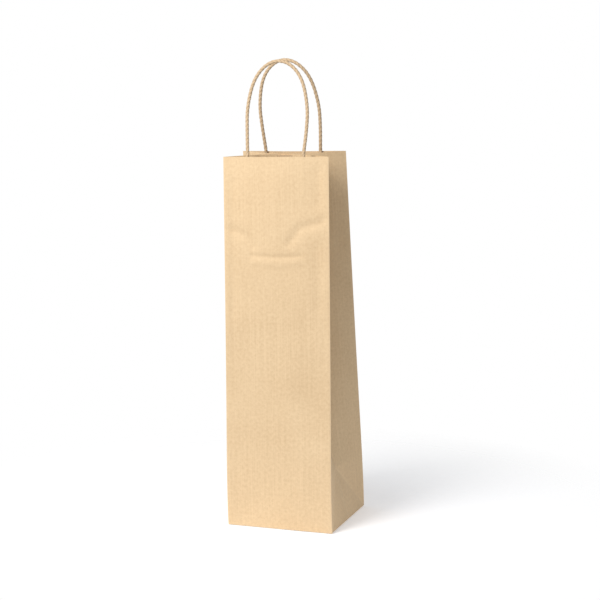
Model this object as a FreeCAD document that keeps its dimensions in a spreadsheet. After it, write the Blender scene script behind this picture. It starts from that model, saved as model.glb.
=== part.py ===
import FreeCAD, Part
import math
import os
import Sketcher

# Wine gift bag: a kraft-paper block-bottom bag for one bottle, with two twisted-paper handles.
# Millimetres. +Z is up, +X is to the right of someone facing the front wall, and the front wall
# faces -Y. The origin is the centre of the base, on the surface that the bag stands on.

doc = FreeCAD.newDocument("wine_gift_bag")

SIZES = {
    "width": 95,             # front and rear walls, side to side
    "depth": 95,             # base, front to back, and each gusset when it is unfolded
    "wall_height": 320,      # base crease to rim, up the middle of a wall
    "mouth_gap": 50,         # from the front wall's rim to the rear wall's
    "skew_angle": 2,         # how far the base crease runs off square to the walls, degrees
    "paper": 0.3,            # thickness of the body paper and of the patch strips
    "crease_gap": 1.0,       # clearance that a folded edge leaves to the wall beside it
    "flap_reach": 55,        # front and rear bottom flaps, base crease to free edge
    "flap_end": 50,          # the same flaps' width at their free edge
    "side_reach": 45,        # side bottom flaps, base crease to free edge
    "side_end": 40,          # the same flaps' width at their free edge
    "lap_width": 10,         # glued lap that closes the tube, inside the rear wall's left edge
    "patch_width": 74,       # strips that hold the cord's ends
    "patch_height": 36,
    "patch_drop": 3,         # rim to the strips' upper edge
    "cord_diameter": 3,
    "cord_gap": 0.05,        # glue line between the cord and a strip
    "leg_spacing": 50,       # between the middles of a handle's two legs, at the rim
    "leg_depth": 34,         # cord end below the rim
    "bend_height": 2.2,      # middle of the bend that lets a handle swing, above the rim
    "bend_gap": 0.1,         # clearance round that bend
    "handle_lean": 6.5,      # how far a handle leans inwards from its wall, degrees
    "tent_foot": 4,          # inner strip's foot, sideways from a leg's middle
    "tent_top": 1.2,         # half of the inner strip's flat over a leg
}

# Half of the handle's loop, from the bend over one leg to the top: how far each point lies
# outside the leg's middle, and how high above the bend.
LOOP_HALF = [(0.0, 0.0), (1.6, 20.0), (2.2, 40.0), (-3.4, 65.0), (-17.0, 79.0)]

sheet = doc.addObject("Spreadsheet::Sheet", "Sizes")
for row, (alias, value) in enumerate(SIZES.items(), start=1):
    sheet.set(f"A{row}", alias)
    sheet.set(f"B{row}", str(value))
    sheet.setAlias(f"B{row}", alias)
doc.recompute()


def size(alias):
    """A driving dimension, as a plain number."""
    return float(sheet.get(alias))


HALF_WIDTH = size("width") / 2
HALF_DEPTH = size("depth") / 2
PAPER = size("paper")
CORD_RADIUS = size("cord_diameter") / 2
LEAN = math.asin((size("depth") - size("mouth_gap")) / 2 / size("wall_height"))
SKEW = math.radians(size("skew_angle"))
UP_THE_WALL = (-math.sin(SKEW), math.cos(SKEW))
ALONG_THE_RIM = (math.cos(SKEW), math.sin(SKEW))

parts = []


# ---- places -------------------------------------------------------------------------------

def wall_placement(side):
    """Wall coordinates (x across, y up the wall, z towards -Y) at the front (-1) or rear (1)."""
    tilt = 90 + side * math.degrees(LEAN)
    turn = FreeCAD.Rotation(FreeCAD.Vector(1, 0, 0), tilt)
    return FreeCAD.Placement(FreeCAD.Vector(0, side * HALF_DEPTH, 0), turn)


def rim_placement(side):
    """Coordinates with their origin at the middle of a wall's rim, x along it, y on up the wall."""
    height = size("wall_height")
    middle = FreeCAD.Vector(height * UP_THE_WALL[0], height * UP_THE_WALL[1], 0)
    turn = FreeCAD.Rotation(FreeCAD.Vector(0, 0, 1), math.degrees(SKEW))
    return wall_placement(side) * FreeCAD.Placement(middle, turn)


def rim_corner(x_sign, side):
    """Where a side edge of a wall meets its rim."""
    along = x_sign * HALF_WIDTH * math.cos(SKEW)
    return rim_placement(side).multVec(FreeCAD.Vector(along, 0, 0))


# ---- shared builders ----------------------------------------------------------------------

def new_body(label, placement):
    body = doc.addObject("PartDesign::Body", label)
    body.Label = label
    body.Placement = placement
    parts.append(body)
    return body


def origin_plane(body, role):
    return next(item for item in body.Origin.OriginFeatures if item.Role == role)


def outline_sketch(body, name, role, corners):
    """A closed outline. Each corner is a pair of expressions of the sheet's dimensions."""
    sketch = body.newObject("Sketcher::SketchObject", name)
    sketch.AttachmentSupport = [(origin_plane(body, role), "")]
    sketch.MapMode = "FlatFace"
    places = [
        FreeCAD.Vector(float(sketch.evalExpression(x)), float(sketch.evalExpression(y)), 0)
        for x, y in corners
    ]
    for index, place in enumerate(places):
        following = places[(index + 1) % len(places)]
        sketch.addGeometry(Part.LineSegment(place, following), False)
    for index in range(len(places)):
        following = (index + 1) % len(places)
        sketch.addConstraint(Sketcher.Constraint("Coincident", index, 2, following, 1))
    for index, (x, y) in enumerate(corners):
        for kind, value, expression in (
            ("DistanceX", places[index].x, x),
            ("DistanceY", places[index].y, y),
        ):
            number = sketch.addConstraint(Sketcher.Constraint(kind, -1, 1, index, 1, value))
            sketch.setExpression(f"Constraints[{number}]", expression)
    return sketch


def pad(body, sketch, length, midplane=False, reverse=False):
    feature = body.newObject("PartDesign::Pad", body.Label + "_pad")
    feature.Profile = sketch
    feature.setExpression("Length", length)
    feature.Midplane = midplane
    feature.Reversed = reverse
    body.Tip = feature
    return feature


def faceted_paper(label, corners, facets):
    """Folded paper: flat facets between the given corners, thickened evenly to both sides."""
    normals = [FreeCAD.Vector(0, 0, 0) for _ in corners]
    for a, b, c in facets:
        normal = (corners[b] - corners[a]).cross(corners[c] - corners[a]).normalize()
        for corner in (a, b, c):
            normals[corner] = normals[corner] + normal
    rise = [normal.normalize() * (PAPER / 2) for normal in normals]
    upper = [corner + step for corner, step in zip(corners, rise)]
    lower = [corner - step for corner, step in zip(corners, rise)]
    faces = []
    edges = []
    for a, b, c in facets:
        faces.append(triangle(upper[a], upper[b], upper[c]))
        faces.append(triangle(lower[a], lower[c], lower[b]))
        edges.extend([(a, b), (b, c), (c, a)])
    for a, b in edges:
        if (b, a) not in edges:
            faces.append(triangle(upper[b], upper[a], lower[a]))
            faces.append(triangle(upper[b], lower[a], lower[b]))
    solid = Part.Solid(Part.Shell(faces))
    if solid.Volume < 0:
        solid.reverse()
    feature = doc.addObject("Part::Feature", label)
    feature.Label = label
    feature.Shape = solid
    parts.append(feature)


def triangle(a, b, c):
    return Part.Face(Part.makePolygon([a, b, c, a]))


# ---- walls --------------------------------------------------------------------------------

def wall(label, side):
    """The rim is square to the side edges, and the base crease runs off square by the skew."""
    half = "Sizes.width / 2"
    rise = "Sizes.wall_height"
    left_x = f"-{rise} * sin(Sizes.skew_angle) - {half} * cos(Sizes.skew_angle) ^ 2"
    left_y = f"{rise} * cos(Sizes.skew_angle) - {half} * cos(Sizes.skew_angle) * sin(Sizes.skew_angle)"
    right_x = f"-{rise} * sin(Sizes.skew_angle) + {half} * cos(Sizes.skew_angle) ^ 2"
    right_y = f"{rise} * cos(Sizes.skew_angle) + {half} * cos(Sizes.skew_angle) * sin(Sizes.skew_angle)"
    foot = "Sizes.paper"
    body = new_body(label, wall_placement(side))
    outline = outline_sketch(body, label + "_outline", "XY_Plane", [
        (f"-{half}", foot),
        (half, foot),
        (right_x, right_y),
        (left_x, left_y),
    ])
    pad(body, outline, "Sizes.paper", midplane=True)


def seam_lap():
    """The glued lap lies on the inside of the rear wall, along its left edge."""
    half = "Sizes.width / 2"
    rise = "Sizes.wall_height"
    lean_x = f"-{rise} * sin(Sizes.skew_angle)"
    body = new_body("seam_lap", wall_placement(1))
    outline = outline_sketch(body, "seam_lap_outline", "XY_Plane", [
        (f"-{half}", "2 * Sizes.crease_gap"),
        (f"-{half} + Sizes.lap_width", "2 * Sizes.crease_gap"),
        (f"{lean_x} - {half} + Sizes.lap_width", f"{rise} - Sizes.lap_width / 4"),
        (f"{lean_x} - {half}", f"{rise} - Sizes.lap_width / 4"),
    ])
    pad(body, outline, "Sizes.paper")
    lift = FreeCAD.Placement(FreeCAD.Vector(0, 0, PAPER / 2), FreeCAD.Rotation())
    body.Placement = wall_placement(1) * lift


# ---- gussets ------------------------------------------------------------------------------

def gusset_half(label, x_sign, side):
    """Half of a side gusset, from a wall's edge to the crease down the gusset's middle.

    The middle crease is pushed in so that each half keeps its width: a little where the
    bottom triangle ends, half a depth up, and most of the way across at the rim.
    """
    gap = size("crease_gap")
    reach = HALF_DEPTH
    knee_turn = math.acos((1 - math.sin(LEAN)) / math.cos(LEAN))
    knee_in = reach * math.sin(knee_turn)
    knee_up = reach * math.cos(knee_turn)
    mouth_in = math.sqrt(reach ** 2 - (size("mouth_gap") / 2) ** 2)
    rim = rim_corner(x_sign, side)
    inward = FreeCAD.Vector(-x_sign * math.cos(SKEW), 0, -x_sign * math.sin(SKEW))
    base_corner = FreeCAD.Vector(x_sign * HALF_WIDTH, side * (HALF_DEPTH - gap), PAPER)
    rim_point = FreeCAD.Vector(rim.x, rim.y - side * gap, rim.z)
    base_middle = FreeCAD.Vector(x_sign * HALF_WIDTH, side * gap / 2, PAPER)
    knee = FreeCAD.Vector(
        x_sign * (HALF_WIDTH - knee_in) - knee_up * math.sin(SKEW), side * gap / 2, knee_up
    )
    mouth = FreeCAD.Vector(rim.x, side * gap / 2, rim.z) + inward * mouth_in
    corners = [base_corner, base_middle, knee, rim_point, mouth]
    faceted_paper(label, corners, [(0, 1, 2), (0, 2, 3), (2, 4, 3)])


# ---- bottom -------------------------------------------------------------------------------

def bottom_flap(label, turn, start, half_width, reach, end_width, layer):
    """A mitred flap that folds in from one base crease. layer counts sheets up from the floor."""
    place = FreeCAD.Placement(
        FreeCAD.Vector(0, 0, layer * PAPER), FreeCAD.Rotation(FreeCAD.Vector(0, 0, 1), turn)
    )
    body = new_body(label, place)
    near = f"-{start} + Sizes.crease_gap / 2"
    outline = outline_sketch(body, label + "_outline", "XY_Plane", [
        (f"-{half_width} + Sizes.crease_gap / 2", near),
        (f"{half_width} - Sizes.crease_gap / 2", near),
        (f"{end_width} / 2", f"-{start} + {reach}"),
        (f"-{end_width} / 2", f"-{start} + {reach}"),
    ])
    pad(body, outline, "Sizes.paper")


def bottom():
    """The side flaps fold in first, then the rear flap, then the front flap, which is outermost."""
    half_width = "Sizes.width / 2"
    half_depth = "Sizes.depth / 2"
    lengthwise = (half_depth, half_width, "Sizes.flap_reach", "Sizes.flap_end")
    crosswise = (half_width, half_depth, "Sizes.side_reach", "Sizes.side_end")
    bottom_flap("front_bottom_flap", 0, *lengthwise, 0)
    bottom_flap("rear_bottom_flap", 180, *lengthwise, 1)
    bottom_flap("left_bottom_flap", -90, *crosswise, 2)
    bottom_flap("right_bottom_flap", 90, *crosswise, 2)


# ---- handles ------------------------------------------------------------------------------

def patch_outer(label, side):
    """The strip next to the wall."""
    body = new_body(label, rim_placement(side))
    outline = outline_sketch(body, label + "_outline", "XY_Plane", [
        ("-Sizes.patch_width / 2", "-Sizes.patch_drop - Sizes.patch_height"),
        ("Sizes.patch_width / 2", "-Sizes.patch_drop - Sizes.patch_height"),
        ("Sizes.patch_width / 2", "-Sizes.patch_drop"),
        ("-Sizes.patch_width / 2", "-Sizes.patch_drop"),
    ])
    pad(body, outline, "Sizes.paper")
    start = PAPER / 2 if side > 0 else -1.5 * PAPER
    lift = FreeCAD.Placement(FreeCAD.Vector(0, 0, start), FreeCAD.Rotation())
    body.Placement = rim_placement(side) * lift


def patch_inner(label, side):
    """The strip over the cord's ends: flat between them, and lifted over each like a tent."""
    top = "Sizes.cord_diameter + 2 * Sizes.cord_gap"
    leg = "Sizes.leg_spacing / 2"
    profile = [
        ("-Sizes.patch_width / 2", "0"),
        (f"-{leg} - Sizes.tent_foot", "0"),
        (f"-{leg} - Sizes.tent_top", top),
        (f"-{leg} + Sizes.tent_top", top),
        (f"-{leg} + Sizes.tent_foot", "0"),
        (f"{leg} - Sizes.tent_foot", "0"),
        (f"{leg} - Sizes.tent_top", top),
        (f"{leg} + Sizes.tent_top", top),
        (f"{leg} + Sizes.tent_foot", "0"),
        ("Sizes.patch_width / 2", "0"),
    ]
    above = [(x, f"{z} + Sizes.paper") for x, z in reversed(profile)]
    body = new_body(label, rim_placement(side))
    outline = outline_sketch(body, label + "_profile", "XY_Plane", profile + above)
    pad(body, outline, "Sizes.patch_height")
    # The profile's second direction points into the bag, and the strip runs along the wall.
    face = 1.5 * PAPER * side
    turn = FreeCAD.Rotation(
        FreeCAD.Vector(1, 0, 0), FreeCAD.Vector(0, 0, side), FreeCAD.Vector(0, -side, 0), "XYZ"
    )
    start = -size("patch_drop") - (size("patch_height") if side < 0 else 0)
    seat = FreeCAD.Placement(FreeCAD.Vector(0, start, face), turn)
    body.Placement = rim_placement(side) * seat


def cord_depth(side):
    """The cord's middle, into the bag from the wall's middle plane, in rim coordinates' z."""
    return side * (1.5 * PAPER + size("cord_gap") + CORD_RADIUS)


def cord_leg(label, x_sign, side):
    """The glued end of a cord: straight, from inside the patch to just above the rim."""
    leg = doc.addObject("Part::Cylinder", label)
    leg.Label = label
    leg.setExpression("Radius", "Sizes.cord_diameter / 2")
    height = "Sizes.leg_depth + Sizes.bend_height - Sizes.cord_diameter / 2 - Sizes.bend_gap"
    leg.setExpression("Height", height)
    foot = FreeCAD.Vector(
        x_sign * size("leg_spacing") / 2, -size("leg_depth"), cord_depth(side)
    )
    along = FreeCAD.Rotation(FreeCAD.Vector(1, 0, 0), -90)
    leg.Placement = rim_placement(side) * FreeCAD.Placement(foot, along)
    parts.append(leg)


def loop_route():
    """The loop's corner points in its own plane, from one bend over the top to the other."""
    half = size("leg_spacing") / 2
    rising = [FreeCAD.Vector(-half - out, up, 0) for out, up in LOOP_HALF]
    falling = [FreeCAD.Vector(-point.x, point.y, 0) for point in reversed(rising)]
    return rising + falling


def rounded_path(route):
    """Straight runs through the route, joined by tangent arcs as large as the runs allow."""
    share = 0.45
    edges = []
    radii = []
    start = route[0]
    for before, corner, after in zip(route, route[1:], route[2:]):
        arriving = corner - before
        leaving = after - corner
        half_turn = arriving.getAngle(leaving) / 2
        cut = share * min(arriving.Length, leaving.Length)
        radius = cut / math.tan(half_turn)
        radii.append(radius)
        way_in = FreeCAD.Vector(arriving).normalize()
        way_out = FreeCAD.Vector(leaving).normalize()
        first = corner - way_in * cut
        last = corner + way_out * cut
        towards_centre = (way_out - way_in).normalize()
        centre = corner + towards_centre * (radius / math.cos(half_turn))
        middle = centre - towards_centre * radius
        edges.append(Part.LineSegment(start, first).toShape())
        edges.append(Part.Arc(first, middle, last).toShape())
        start = last
    edges.append(Part.LineSegment(start, route[-1]).toShape())
    return Part.Wire(edges), radii


def cord_loop(label, side):
    """The free loop of a handle. Its round ends turn about the bends just above the rim."""
    path, radii = rounded_path(loop_route())
    first = path.Edges[0]
    ring = Part.makeCircle(CORD_RADIUS, first.Vertexes[0].Point, first.tangentAt(first.FirstParameter))
    tube = path.makePipeShell([Part.Wire([ring])], True, False)
    expected = math.pi * CORD_RADIUS ** 2 * path.Length
    if abs(tube.Volume - expected) > 0.001 * expected:
        raise RuntimeError(f"{label}: the tube's volume isn't its section times its length")
    route = loop_route()
    ends = [Part.makeSphere(CORD_RADIUS, point) for point in (route[0], route[-1])]
    shape = tube.fuse(ends).removeSplitter()
    feature = doc.addObject("Part::Feature", label)
    feature.Label = label
    feature.Shape = shape.Solids[0]
    seat = FreeCAD.Placement(
        FreeCAD.Vector(0, size("bend_height"), cord_depth(side)),
        FreeCAD.Rotation(FreeCAD.Vector(1, 0, 0), side * size("handle_lean")),
    )
    feature.Placement = rim_placement(side) * seat
    parts.append(feature)
    print(label, "cord", round(path.Length, 1), "mm, radii", [round(radius, 1) for radius in radii])


def handle(name, side):
    patch_outer(f"{name}_patch_outer", side)
    patch_inner(f"{name}_patch_inner", side)
    cord_leg(f"{name}_cord_left_leg", -1, side)
    cord_leg(f"{name}_cord_right_leg", 1, side)
    cord_loop(f"{name}_handle_loop", side)


# ---- the bag ------------------------------------------------------------------------------

wall("front_wall", -1)
wall("rear_wall", 1)
seam_lap()
for x_name, x_direction in (("left", -1), ("right", 1)):
    gusset_half(f"{x_name}_gusset_front", x_direction, -1)
    gusset_half(f"{x_name}_gusset_rear", x_direction, 1)
bottom()
handle("front", -1)
handle("rear", 1)
doc.recompute()

for item in doc.Objects:
    if "Invalid" in item.State or "Error" in item.State:
        raise RuntimeError(f"{item.Label} failed: {item.State}")
for item in parts:
    if item.Shape.isNull() or not item.Shape.isValid():
        raise RuntimeError(f"{item.Label} has no valid shape")

os.makedirs("parts", exist_ok=True)
for item in parts:
    item.Shape.exportStep(f"parts/{item.Label}.step")
    box = item.Shape.BoundBox
    print(
        f"{item.Label:24s} {item.Shape.Volume:9.1f} mm3",
        f"x {box.XMin:7.1f} {box.XMax:7.1f}  y {box.YMin:7.1f} {box.YMax:7.1f}",
        f" z {box.ZMin:7.2f} {box.ZMax:7.2f}",
    )
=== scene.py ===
import math

import bpy
import numpy as np
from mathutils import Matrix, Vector


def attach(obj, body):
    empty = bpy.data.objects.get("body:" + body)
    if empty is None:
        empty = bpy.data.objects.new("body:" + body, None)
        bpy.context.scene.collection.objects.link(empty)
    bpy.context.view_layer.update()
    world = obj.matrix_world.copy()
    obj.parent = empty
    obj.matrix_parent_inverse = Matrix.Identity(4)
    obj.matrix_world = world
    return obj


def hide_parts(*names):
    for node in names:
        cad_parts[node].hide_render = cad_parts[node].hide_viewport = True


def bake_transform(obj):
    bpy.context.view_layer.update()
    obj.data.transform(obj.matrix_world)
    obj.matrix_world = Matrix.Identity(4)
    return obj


# Wine gift bag: kraft paper, block bottom, two twisted-paper handles. Metres. +Z is up and the
# front wall faces -Y. Each sheet of paper follows its CAD plane, with a shallow relief on it.
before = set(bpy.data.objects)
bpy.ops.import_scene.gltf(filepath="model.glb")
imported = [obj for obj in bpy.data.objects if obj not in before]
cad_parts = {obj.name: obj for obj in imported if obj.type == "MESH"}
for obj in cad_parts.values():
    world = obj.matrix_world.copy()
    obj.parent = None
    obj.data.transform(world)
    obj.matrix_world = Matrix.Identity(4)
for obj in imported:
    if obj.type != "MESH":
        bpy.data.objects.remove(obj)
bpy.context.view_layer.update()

HALF = 0.0475            # half of a wall's width, and of the base's depth
RISE = 0.320             # base crease to rim
PAPER = 0.0003
LEAN = math.asin((2 * HALF - 0.050) / 2 / RISE)
SKEW = math.radians(2)
SIN, COS = math.sin(SKEW), math.cos(SKEW)
CORD_RADIUS = 0.0015
CORD_DEPTH = 1.5 * PAPER + 0.00005 + CORD_RADIUS
LEG_OUT = 0.025
LEG_DEPTH = 0.034
BEND_HEIGHT = 0.0022
HANDLE_LEAN = math.radians(6.5)
LOOP_HALF = [(0.0, 0.0), (0.0016, 0.020), (0.0022, 0.040), (-0.0034, 0.065), (-0.017, 0.079)]
SIDES = {"front": -1, "rear": 1}

BOW = {-1: -0.003, 1: 0.002}             # the rim's middle, inside the wall's plane, by side
BOW_FROM = 0.35                          # how far up the walls the bow starts
FULLNESS, FULLEST_UP = 0.002, 0.14       # how far the walls swell near the foot, and how far up
EDGE_CALM, RIM_CALM = 0.18, 0.05         # shares of a wall over which the dents fade out
FOLD_EASE, FOLD_REACH = 0.0004, 0.0025   # how far folded edges are pulled in, and from where on
FOLD_HIGHLIGHT_WIDTH = 0.0009                       # width of the painted highlight beside a fold
CREASE_GAP = 0.0002                      # half of the gap between a gusset's two halves
STRIP_HALF, STRIP_LOW, STRIP_HIGH = 0.037, -0.039, -0.003   # glued strips, from the rim's middle
LAP_WIDTH = 0.010
TWIST_PITCH = 0.0078
CORD_STEP, CORD_SIDES = 0.0004, 28

# The front's creases and dents: a route of (across, up) points, a width and a depth.
FRONT_DENTS = [
    ([(-0.98, 0.81), (-0.58, 0.79), (-0.44, 0.762)], 0.0042, 0.0012),
    ([(0.25, 0.772), (0.46, 0.812), (0.95, 0.832)], 0.0042, 0.0012),
    ([(-0.46, 0.737), (0.02, 0.733), (0.46, 0.738)], 0.0020, 0.0008),
    ([(-0.42, 0.718), (0.05, 0.714), (0.42, 0.720)], 0.0026, -0.0005),
    ([(-0.82, 0.93), (-0.84, 0.58)], 0.0050, 0.0007),
    ([(0.78, 0.97), (0.80, 0.88)], 0.0055, 0.0008),
    ([(0.77, 0.76), (0.79, 0.60)], 0.0055, 0.0008),
]


# ---- surfaces -------------------------------------------------------------------------------
def smooth(value):
    value = np.clip(value, 0, 1)
    return value * value * (3 - 2 * value)


def plane_place(across, up):
    """A wall's flat coordinates, from how far across it (-1 to 1) and up it (0 to 1) a point is."""
    x = across * HALF * (1 - up * SIN ** 2) - up * RISE * SIN
    y = up * (RISE * COS + across * HALF * COS * SIN)
    return x, y


def fractions(x, y):
    """plane_place the other way round."""
    across = np.zeros_like(x)
    for _ in range(6):
        up = y / (RISE * COS + across * HALF * COS * SIN)
        across = (x + up * RISE * SIN) / (HALF * (1 - up * SIN ** 2))
    return across, up


def from_rim(along, up):
    """A wall's flat coordinates of a point, from the middle of its rim."""
    return -(RISE + up) * SIN + along * COS, (RISE + up) * COS + along * SIN


def groove(across, up, route, width, depth):
    """A soft dent along a route of (across, up) points."""
    reach = np.full(np.broadcast(across, up).shape, 1.0)
    for (a0, u0), (a1, u1) in zip(route, route[1:]):
        dx, dy = (a1 - a0) * HALF, (u1 - u0) * RISE
        px, py = (across - a0) * HALF, (up - u0) * RISE
        share = np.clip((px * dx + py * dy) / (dx * dx + dy * dy), 0, 1)
        reach = np.minimum(reach, np.hypot(px - share * dx, py - share * dy))
    return depth * np.exp(-((reach / width) ** 2))


def lumps(across, up, seed, count, depth):
    """Gentle unevenness of paper that has been folded and opened."""
    rng = np.random.default_rng(seed)
    total = np.zeros(np.broadcast(across, up).shape)
    for _ in range(count):
        a, u = rng.uniform(-1, 1), rng.uniform(0.05, 1)
        wide, tall = rng.uniform(0.007, 0.022), rng.uniform(0.010, 0.040)
        reach = ((across - a) * HALF / wide) ** 2 + ((up - u) * RISE / tall) ** 2
        total += rng.uniform(-depth, depth) * np.exp(-reach)
    return total


def relief(side, across, up):
    """How far a wall's paper lies inside its plane. Its side edges keep only the fullness."""
    fullness = FULLNESS * up / FULLEST_UP * np.exp(1 - up / FULLEST_UP)
    inner = smooth((1 - np.abs(across)) / EDGE_CALM)
    arch = (1 - across ** 2) ** 2 * smooth((up - BOW_FROM) / (1 - BOW_FROM))
    inside = -fullness + BOW[side] * arch
    dents = lumps(across, up, 40 + side, 46, 0.00045)
    below_rim = smooth((1 - up) / RIM_CALM)
    if side < 0:
        for route, width, depth in FRONT_DENTS:
            dents = dents + groove(across, up, route, width, depth)
    along, over = across * HALF, (up - 1) * RISE
    # The glued strip and the cord's legs show through as a faint step and two faint ridges.
    strip = smooth((0.0375 - np.abs(along)) / 0.0006) * smooth((over + 0.0395) / 0.0006)
    ridges = np.exp(-(((np.abs(along) - LEG_OUT) / 0.0016) ** 2))
    ridges = ridges * smooth((over + LEG_DEPTH) / 0.004)
    return inside + dents * inner * below_rim - 0.00012 * strip - 0.00018 * ridges


def wall_point(side, x, y, inward):
    """A point of a wall in the row frame, from its flat coordinates and how far inside it lies."""
    across, up = fractions(x, y)
    depth = side * (inward + relief(side, across, np.clip(up, 0, 1)))
    turn = math.pi / 2 + side * LEAN
    return np.stack([
        x,
        side * HALF + y * math.cos(turn) - depth * math.sin(turn),
        y * math.sin(turn) + depth * math.cos(turn),
    ], axis=-1)


def ease_fold(points, away, x_sign, side):
    """Eases a folded edge round, given each point's distance from the fold on the flat sheet."""
    pull = FOLD_EASE * np.clip(1 - away / FOLD_REACH, 0, 1) ** 2
    points[..., 0] -= x_sign * pull
    points[..., 1] -= side * pull
    return points


# ---- meshes ---------------------------------------------------------------------------------
def mesh_object(name, verts, faces, chart, materials, face_materials=None):
    mesh = bpy.data.meshes.new(name)
    mesh.from_pydata(verts.tolist(), [], faces)
    mesh.update()
    for material in materials:
        mesh.materials.append(material)
    if face_materials is not None:
        mesh.polygons.foreach_set("material_index", face_materials)
    mesh.polygons.foreach_set("use_smooth", [True] * len(mesh.polygons))
    layer = mesh.attributes.new("chart", "FLOAT_VECTOR", "POINT")
    layer.data.foreach_set("vector", np.ascontiguousarray(chart, np.float32).ravel())
    mesh.set_sharp_from_angle(angle=math.radians(55))
    obj = bpy.data.objects.new(name, mesh)
    bpy.context.scene.collection.objects.link(obj)
    return obj


def paper_sheet(name, points, flat, fold, materials):
    """Paper with its real thickness. points is a grid on its middle surface, flat is each point's
    place on the flat sheet, and fold is 1 on a folded edge and 0 away from it."""
    normal = np.cross(np.gradient(points, axis=1), np.gradient(points, axis=0))
    normal /= np.linalg.norm(normal, axis=-1, keepdims=True)
    rows, columns = points.shape[:2]
    count = rows * columns
    verts = np.concatenate([
        (points + normal * PAPER / 2).reshape(-1, 3),
        (points - normal * PAPER / 2).reshape(-1, 3),
    ])
    index = np.arange(count).reshape(rows, columns)
    a, b = index[:-1, :-1].ravel(), index[:-1, 1:].ravel()
    c, d = index[1:, 1:].ravel(), index[1:, :-1].ravel()
    outer = np.stack([a, b, c, d], axis=1)
    inner = np.stack([d, c, b, a], axis=1) + count
    ring = np.concatenate([index[0, :-1], index[:-1, -1], index[-1, :0:-1], index[:0:-1, 0]])
    after = np.roll(ring, -1)
    border = np.stack([after, ring, ring + count, after + count], axis=1)
    faces = np.concatenate([outer, inner, border]).tolist()
    place = np.concatenate([flat.reshape(-1, 2), flat.reshape(-1, 2) + 0.7])
    chart = np.concatenate([place, np.tile(fold.reshape(-1, 1), (2, 1))], axis=1)
    kinds = [0] * (2 * len(outer)) + [1] * len(border)
    return mesh_object(name, verts, faces, chart, materials, kinds)


def cord_tube(name, route, material):
    """Two-ply twisted paper cord along a route. A NURBS curve rounds the route's corners."""
    curve = bpy.data.curves.new(name + "_route", "CURVE")
    curve.dimensions = "3D"
    spline = curve.splines.new("NURBS")
    spline.points.add(len(route) - 1)
    for point, place in zip(spline.points, route):
        point.co = (*place, 1)
    spline.order_u = 3
    spline.use_endpoint_u = True
    spline.resolution_u = 24
    guide = bpy.data.objects.new(name + "_route", curve)
    traced = bpy.data.meshes.new_from_object(guide)
    line = np.array([vertex.co[:] for vertex in traced.vertices])
    bpy.data.objects.remove(guide)
    bpy.data.meshes.remove(traced)
    bpy.data.curves.remove(curve)
    run = np.concatenate([[0], np.cumsum(np.linalg.norm(np.diff(line, axis=0), axis=1))])
    length = run[-1]
    stations = np.linspace(0, length, int(length / CORD_STEP))
    centre = np.stack([np.interp(stations, run, line[:, axis]) for axis in range(3)], axis=1)
    tangent = np.gradient(centre, axis=0)
    tangent /= np.linalg.norm(tangent, axis=1, keepdims=True)
    out = np.cross(tangent[0], [1.0, 0, 0])
    outs = []
    for step in tangent:
        out = out - step * np.dot(out, step)
        out = out / np.linalg.norm(out)
        outs.append(out)
    outs = np.array(outs)
    across = np.cross(tangent, outs)
    angle = np.linspace(0, 2 * math.pi, CORD_SIDES, endpoint=False)
    twist = stations[:, None] * 2 * math.pi / TWIST_PITCH
    lobe = np.abs(np.cos(angle[None, :] - twist)) ** 0.75
    radius = CORD_RADIUS * (0.80 + 0.20 * lobe)
    radius[0], radius[-1] = radius[0] * 0.8, radius[-1] * 0.8
    verts = (
        centre[:, None]
        + radius[..., None] * np.cos(angle)[None, :, None] * outs[:, None]
        + radius[..., None] * np.sin(angle)[None, :, None] * across[:, None]
    )
    rows = len(stations)
    index = np.arange(rows * CORD_SIDES).reshape(rows, CORD_SIDES)
    following = np.roll(index, -1, axis=1)
    quads = np.stack([
        index[:-1].ravel(), following[:-1].ravel(), following[1:].ravel(), index[1:].ravel()
    ], axis=1).tolist()
    faces = quads + [index[0, ::-1].tolist(), index[-1].tolist()]
    chart = np.stack([
        np.broadcast_to(stations[:, None], lobe.shape),
        np.broadcast_to((angle[None, :] - twist) * CORD_RADIUS, lobe.shape),
        lobe,
    ], axis=-1)
    print(name, "cord", round(length * 1000, 1), "mm")
    return mesh_object(name, verts.reshape(-1, 3), faces, chart.reshape(-1, 3), [material])


# ---- materials ------------------------------------------------------------------------------
class Shader:
    """A short way to write a node material."""

    def __init__(self, name):
        self.material = bpy.data.materials.new(name)
        self.material.use_nodes = True
        self.nodes = self.material.node_tree.nodes
        self.links = self.material.node_tree.links
        self.bsdf = self.nodes["Principled BSDF"]

    def put(self, socket, value):
        if isinstance(value, bpy.types.NodeSocket):
            self.links.new(value, socket)
        else:
            socket.default_value = value

    def node(self, kind, inputs=(), **settings):
        made = self.nodes.new(kind)
        for key, value in settings.items():
            setattr(made, key, value)
        for key, value in dict(inputs).items():
            self.put(made.inputs[key], value)
        return made

    def maths(self, operation, first, second):
        return self.node("ShaderNodeMath", {0: first, 1: second}, operation=operation).outputs[0]

    def noise(self, place, scale, detail=3.0, stretch=(1, 1, 1)):
        scaled = self.node("ShaderNodeMapping", {"Vector": place, "Scale": stretch}).outputs[0]
        made = self.node("ShaderNodeTexNoise", {"Vector": scaled, "Scale": scale, "Detail": detail})
        return made.outputs[0]

    def mix(self, share, first, second):
        made = self.node("ShaderNodeMix", data_type="RGBA")
        for number, value in ((0, share), (6, first), (7, second)):
            self.put(made.inputs[number], value)
        return made.outputs[2]

    def span(self, value, low, high, start=0.3, end=0.7):
        made = self.node("ShaderNodeMapRange", {
            "Value": value, "From Min": start, "From Max": end, "To Min": low, "To Max": high,
        })
        return made.outputs[0]


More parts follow.
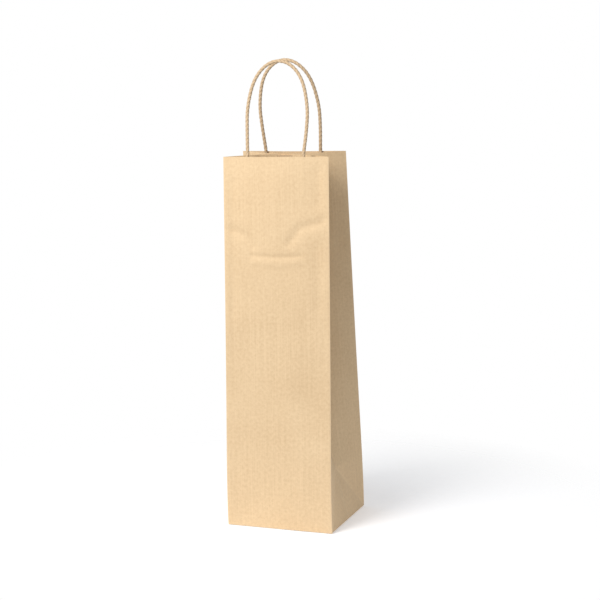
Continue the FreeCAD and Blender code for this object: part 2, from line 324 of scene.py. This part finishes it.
def paper_material(name, pale, deep, cad=False):
    """Kraft paper: cloudy pulp, fibres and faint ribs, with a painted highlight along folded edges.
    cad is for pieces without a chart.
    """
    s = Shader(name)
    if cad:
        place = s.node("ShaderNodeTexCoord").outputs["Object"]
        fold = 0.0
    else:
        chart = s.node("ShaderNodeAttribute", attribute_name="chart").outputs["Vector"]
        parts = s.node("ShaderNodeSeparateXYZ", {0: chart}).outputs
        place = s.node("ShaderNodeCombineXYZ", {0: parts[0], 1: parts[1]}).outputs[0]
        fold = parts[2]
    cloud = s.noise(place, 22, 4)
    pulp = s.noise(place, 380, 6)
    fibre = s.noise(place, 1, 4, (2400, 520, 520))
    cross = s.noise(place, 1, 3, (620, 2100, 620))
    ribs = s.noise(place, 1, 1, (1300, 9, 1300))
    fibres = s.maths("MAXIMUM", fibre, cross)
    body = s.maths("ADD", s.maths("MULTIPLY", cloud, 0.35), s.maths("MULTIPLY", pulp, 0.65))
    colour = s.mix(s.span(body, 0, 1), (*deep, 1), (*pale, 1))
    dark = tuple(0.72 * value for value in deep)
    colour = s.mix(s.span(fibres, 0, 0.55, 0.60, 0.78), colour, (*dark, 1))
    light = tuple(min(1.0, 1.12 * value + 0.03) for value in pale)
    colour = s.mix(s.span(ribs, 0, 0.22, 0.45, 0.75), colour, (*light, 1))
    if not cad:
        # Painted highlight along folded edges, set by the chart's fold mask.
        colour = s.mix(s.maths("MULTIPLY", fold, 0.35), colour, (*light, 1))
    s.put(s.bsdf.inputs["Base Color"], colour)
    s.put(s.bsdf.inputs["Roughness"], s.span(pulp, 0.58, 0.80))
    s.put(s.bsdf.inputs["Specular IOR Level"], 0.28)
    height = s.maths("ADD", s.maths("MULTIPLY", fibres, 0.6), s.maths("MULTIPLY", pulp, 0.7))
    height = s.maths("ADD", height, s.maths("MULTIPLY", ribs, 0.35))
    bump = s.node("ShaderNodeBump", {"Height": height, "Strength": 0.5, "Distance": 0.00012})
    s.put(s.bsdf.inputs["Normal"], bump.outputs[0])
    return s.material


def cord_material(name, pale, deep):
    """Twisted paper: strands that follow the ply, with painted shade in the grooves between the
    plies.
    """
    s = Shader(name)
    chart = s.node("ShaderNodeAttribute", attribute_name="chart").outputs["Vector"]
    parts = s.node("ShaderNodeSeparateXYZ", {0: chart}).outputs
    place = s.node("ShaderNodeCombineXYZ", {0: parts[0], 1: parts[1]}).outputs[0]
    strands = s.noise(place, 1, 4, (260, 3600, 1))
    pulp = s.noise(place, 900, 5)
    colour = s.mix(s.span(pulp, 0, 1), (*deep, 1), (*pale, 1))
    dark = tuple(0.55 * value for value in deep)
    colour = s.mix(s.span(strands, 0, 0.5, 0.5, 0.8), colour, (*dark, 1))
    # Painted shade in the grooves between the plies, where the lobe is low.
    colour = s.mix(s.span(parts[2], 0.75, 0, 0.05, 0.55), colour, (*dark, 1))
    s.put(s.bsdf.inputs["Base Color"], colour)
    s.put(s.bsdf.inputs["Roughness"], s.span(pulp, 0.60, 0.82))
    s.put(s.bsdf.inputs["Specular IOR Level"], 0.25)
    height = s.maths("ADD", strands, s.maths("MULTIPLY", pulp, 0.5))
    bump = s.node("ShaderNodeBump", {"Height": height, "Strength": 0.6, "Distance": 0.00015})
    s.put(s.bsdf.inputs["Normal"], bump.outputs[0])
    return s.material


KRAFT_PALE, KRAFT_DEEP = (0.77, 0.575, 0.355), (0.64, 0.455, 0.265)
kraft = paper_material("kraft_paper", KRAFT_PALE, KRAFT_DEEP)
kraft_flat = paper_material("kraft_paper_bottom", KRAFT_PALE, KRAFT_DEEP, cad=True)
cut_edge = paper_material("kraft_cut_edge", (0.86, 0.71, 0.52), (0.74, 0.57, 0.38))
strip_paper = paper_material("patch_paper", (0.70, 0.515, 0.325), (0.57, 0.405, 0.245))
cord_paper = cord_material("paper_cord", (0.70, 0.52, 0.34), (0.52, 0.37, 0.22))


# ---- walls, lap and strips ------------------------------------------------------------------
def wall(name, side):
    across = np.sin(np.linspace(-1, 1, 116) * math.pi / 2)
    up = np.concatenate([[0.0012, 0.003, 0.005, 0.008], np.linspace(0.012, 1, 262)])
    across, up = np.meshgrid(across, up)
    x, y = plane_place(across, up)
    points = wall_point(side, x, y, 0.0)
    for x_sign in (-1, 1):
        ease_fold(points, np.abs(across - x_sign) * HALF, x_sign, side)
    if side > 0:
        points, across, up = points[:, ::-1], across[:, ::-1], up[:, ::-1]
    away = np.minimum((1 - np.abs(across)) * HALF, up * RISE)
    flat = np.stack([across * HALF + side, up * RISE], axis=-1)
    # The mask of the painted highlight beside the wall's folds.
    fold = np.exp(-away / FOLD_HIGHLIGHT_WIDTH)
    sheet = paper_sheet(name + "_paper", points, flat, fold, [kraft, cut_edge])
    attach(sheet, name + "_body")
    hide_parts(name)


def wall_strip(name, side, along, up, lift, material, replaced, from_base=False):
    """A strip glued inside a wall. lift is how far its middle surface lies inside the wall's."""
    along, up = np.meshgrid(along, up)
    if from_base:
        x, y = plane_place(along / HALF, up / RISE)
    else:
        x, y = from_rim(along, up)
    points = wall_point(side, x, y, lift(along, up))
    if side > 0:
        points, along, up = points[:, ::-1], along[:, ::-1], up[:, ::-1]
    flat = np.stack([along + 2 + side, up], axis=-1)
    sheet = paper_sheet(name, points, flat, np.zeros(along.shape), [material, cut_edge])
    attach(sheet, ("front" if side < 0 else "rear") + "_wall_body")
    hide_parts(replaced)


def flush(along, up):
    """The middle surface of a sheet that lies against the wall."""
    return PAPER + 0 * along


def tent(along, up):
    """The inner strip's height over the legs of the cord, which it closes round at its foot."""
    over = smooth((0.0046 - np.abs(np.abs(along) - LEG_OUT)) / 0.0034)
    return 2 * PAPER + over * (2 * CORD_RADIUS + 0.00035)


def handle_route(side):
    """From the foot of the left leg, over the loop, to the foot of the right leg."""
    points = []
    for share in (0.0, 0.35, 0.7, 1.0):
        points.append((-LEG_OUT, -LEG_DEPTH * (1 - share), CORD_DEPTH))
    for out, rise in LOOP_HALF:
        inward = CORD_DEPTH + rise * math.sin(HANDLE_LEAN)
        points.append((-LEG_OUT - out, BEND_HEIGHT + rise * math.cos(HANDLE_LEAN), inward))
    points += [(-along, up, inward) for along, up, inward in reversed(points)]
    along, up, inward = (np.array(column) for column in zip(*points))
    x, y = from_rim(along, up)
    across, height = fractions(x, y)
    followed = np.where(up > 0.004, relief(side, across, np.ones_like(up)), 0)
    return wall_point(side, x, y, inward - followed)


def handle(name, side):
    """The two glued strips inside a wall, and the cord whose ends lie between them."""
    along = np.linspace(-STRIP_HALF, STRIP_HALF, 150)
    rows = np.linspace(STRIP_LOW, STRIP_HIGH, 46)
    wall_strip(name + "_patch_backing", side, along, rows, flush,
               strip_paper, name + "_patch_outer")
    wall_strip(name + "_patch_cover", side, along, rows, tent,
               strip_paper, name + "_patch_inner")
    cord = cord_tube(name + "_handle_cord", handle_route(side), cord_paper)
    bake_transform(cord)
    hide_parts(name + "_handle_loop", name + "_cord_left_leg", name + "_cord_right_leg")


# ---- gussets --------------------------------------------------------------------------------
def gusset_half(name, x_sign, side):
    """From a wall's edge to the gusset's middle crease, with half of the bottom triangle. Each
    half keeps its width, so the crease lies further in as the walls close towards the mouth."""
    low_rows = 44
    knee_row = low_rows - 1
    foot = np.linspace(0.0025, HALF / RISE, low_rows)
    up = np.concatenate([foot, np.linspace(HALF / RISE, 1, 190)[1:]])
    x, y = plane_place(x_sign * np.ones_like(up), up)
    straight = wall_point(side, x, y, 0.0)
    edge = ease_fold(straight.copy(), np.zeros_like(up), x_sign, side)
    fold_in = np.sqrt(np.clip(HALF ** 2 - straight[:, 1] ** 2, 0, None))
    knee_up = math.sqrt(HALF ** 2 - fold_in[knee_row] ** 2)
    crease = np.stack([
        straight[:, 0] - x_sign * fold_in * COS,
        np.full_like(up, side * CREASE_GAP),
        straight[:, 2] - x_sign * fold_in * SIN * up,
    ], axis=1)
    drop = crease[knee_row, 2] - knee_up
    crease[:, 2] -= drop * (1 - smooth((up * RISE - HALF) / 0.06))
    knee = crease[knee_row]
    corner = np.array([x_sign * HALF, side * HALF, 2 * PAPER])
    middle = np.array([x_sign * HALF, side * CREASE_GAP, 2 * PAPER])
    steps = (1 - np.cos(np.linspace(0, math.pi, 46))) / 2
    grid = np.empty((len(up), len(steps), 3))
    for row, level in enumerate(up * RISE):
        turn = min(1.0, level / HALF)
        if turn < 1:
            on_fold = corner + (knee - corner) * turn
            on_crease = middle + (knee - middle) * turn
            upper = np.clip(steps / max(turn, 1e-6), 0, 1)[:, None]
            lower = np.clip((steps - turn) / (1 - turn), 0, 1)[:, None]
            grid[row] = edge[row] + (on_fold - edge[row]) * upper + (on_crease - on_fold) * lower
        else:
            grid[row] = edge[row] + (crease[row] - edge[row]) * steps[:, None]
    share, level = np.meshgrid(steps, up)
    belly = np.sin(share * math.pi) * smooth((level * RISE - HALF) / 0.09)
    dent_reach = ((share - 0.22) * HALF / 0.007) ** 2 + ((level - 0.745) * RISE / 0.004) ** 2
    uneven = lumps(2 * share - 1, level, 70 + 2 * side + x_sign, 26, 0.0005)
    grid[..., 0] += x_sign * belly * (0.0024 + uneven - 0.0013 * np.exp(-dent_reach))
    away = np.minimum(share, 1 - share) * HALF
    away = np.minimum(away, np.abs(level * RISE - share * HALF) / math.sqrt(2))
    flat = np.stack([share * HALF * -side * x_sign + 4 + x_sign, level * RISE], axis=-1)
    if x_sign * side > 0:
        grid, flat, away = grid[:, ::-1], flat[:, ::-1], away[:, ::-1]
    # The mask of the painted highlight beside the gusset's folds.
    fold = np.exp(-away / FOLD_HIGHLIGHT_WIDTH)
    sheet = paper_sheet(name + "_paper", grid, flat, fold, [kraft, cut_edge])
    if side < 0:
        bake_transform(sheet)
    else:
        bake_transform(sheet)
    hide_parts(name)


wall("front_wall", -1)
wall("rear_wall", 1)
wall_strip("seam_lap_paper", 1, np.linspace(-HALF + 0.0016, -HALF + LAP_WIDTH, 20),
           np.linspace(0.002, 0.3165, 150), flush, kraft, "seam_lap",
           from_base=True)
for side_name, side_sign in SIDES.items():
    handle(side_name, side_sign)
    gusset_half("left_gusset_" + side_name, -1, side_sign)
    gusset_half("right_gusset_" + side_name, 1, side_sign)
for flap in ("front", "rear", "left", "right"):
    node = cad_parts[flap + "_bottom_flap"]
    node.data.materials.clear()
    node.data.materials.append(kraft_flat)


# ---- floor, background, lamps and camera ----------------------------------------------------
def floor():
    """A pale disc under the bag. It fades out into the white background."""
    radius, count = 1.4, 96
    turns = [2 * math.pi * number / count for number in range(count)]
    mesh = bpy.data.meshes.new("floor")
    rim = [(radius * math.cos(turn), radius * math.sin(turn), 0) for turn in turns]
    mesh.from_pydata(rim, [], [list(range(count))])
    s = Shader("floor")
    place = s.node("ShaderNodeTexCoord").outputs["Object"]
    away = s.node("ShaderNodeVectorMath", {0: place}, operation="LENGTH").outputs["Value"]
    s.put(s.bsdf.inputs["Base Color"], (0.95, 0.95, 0.96, 1))
    s.put(s.bsdf.inputs["Emission Color"], (0.97, 0.97, 1.0, 1))
    s.put(s.bsdf.inputs["Emission Strength"], 0.26)
    s.put(s.bsdf.inputs["Roughness"], 0.9)
    s.put(s.bsdf.inputs["Specular IOR Level"], 0.1)
    s.put(s.bsdf.inputs["Alpha"], s.span(away, 1.0, 0.0, 0.10, 0.34))
    mesh.materials.append(s.material)
    obj = bpy.data.objects.new("floor", mesh)
    obj.location = (0, 0, -0.0002)
    bpy.context.scene.collection.objects.link(obj)


def background():
    """White to the camera, and a soft grey fill for everything else."""
    world = bpy.data.worlds.new("white")
    world.use_nodes = True
    nodes, links = world.node_tree.nodes, world.node_tree.links
    shown = nodes["Background"]
    shown.inputs["Color"].default_value = (1, 1, 1, 1)
    shown.inputs["Strength"].default_value = 1
    fill = nodes.new("ShaderNodeBackground")
    fill.inputs["Color"].default_value = (0.96, 0.98, 1, 1)
    fill.inputs["Strength"].default_value = 0.52
    path = nodes.new("ShaderNodeLightPath")
    mix = nodes.new("ShaderNodeMixShader")
    links.new(path.outputs["Is Camera Ray"], mix.inputs[0])
    links.new(fill.outputs[0], mix.inputs[1])
    links.new(shown.outputs[0], mix.inputs[2])
    links.new(mix.outputs[0], nodes["World Output"].inputs["Surface"])
    bpy.context.scene.world = world


def lamp(name, place, aim, size, power, colour=(1, 1, 1)):
    light = bpy.data.lights.new(name, "AREA")
    light.size = size
    light.energy = power
    light.color = colour
    obj = bpy.data.objects.new(name, light)
    obj.location = place
    obj.rotation_euler = (Vector(aim) - Vector(place)).to_track_quat("-Z", "Y").to_euler()
    bpy.context.scene.collection.objects.link(obj)


floor()
background()
lamp("key", (-0.46, -0.98, 0.86), (0, 0, 0.22), 0.55, 9.2, (1, 0.985, 0.965))
lamp("top", (-0.10, -0.42, 0.66), (0, -0.03, 0.28), 0.20, 1.05)

camera = bpy.data.objects.new("camera", bpy.data.cameras.new("camera"))
camera.data.lens = 127.8
camera.data.sensor_width = 36
camera.location = (0.5745, -1.7231, 0.5148)
camera.rotation_euler = (math.radians(90 - 10.067), 0, math.radians(18.365))
bpy.context.scene.collection.objects.link(camera)
bpy.context.scene.camera = camera
bpy.context.scene.view_settings.view_transform = "Standard"
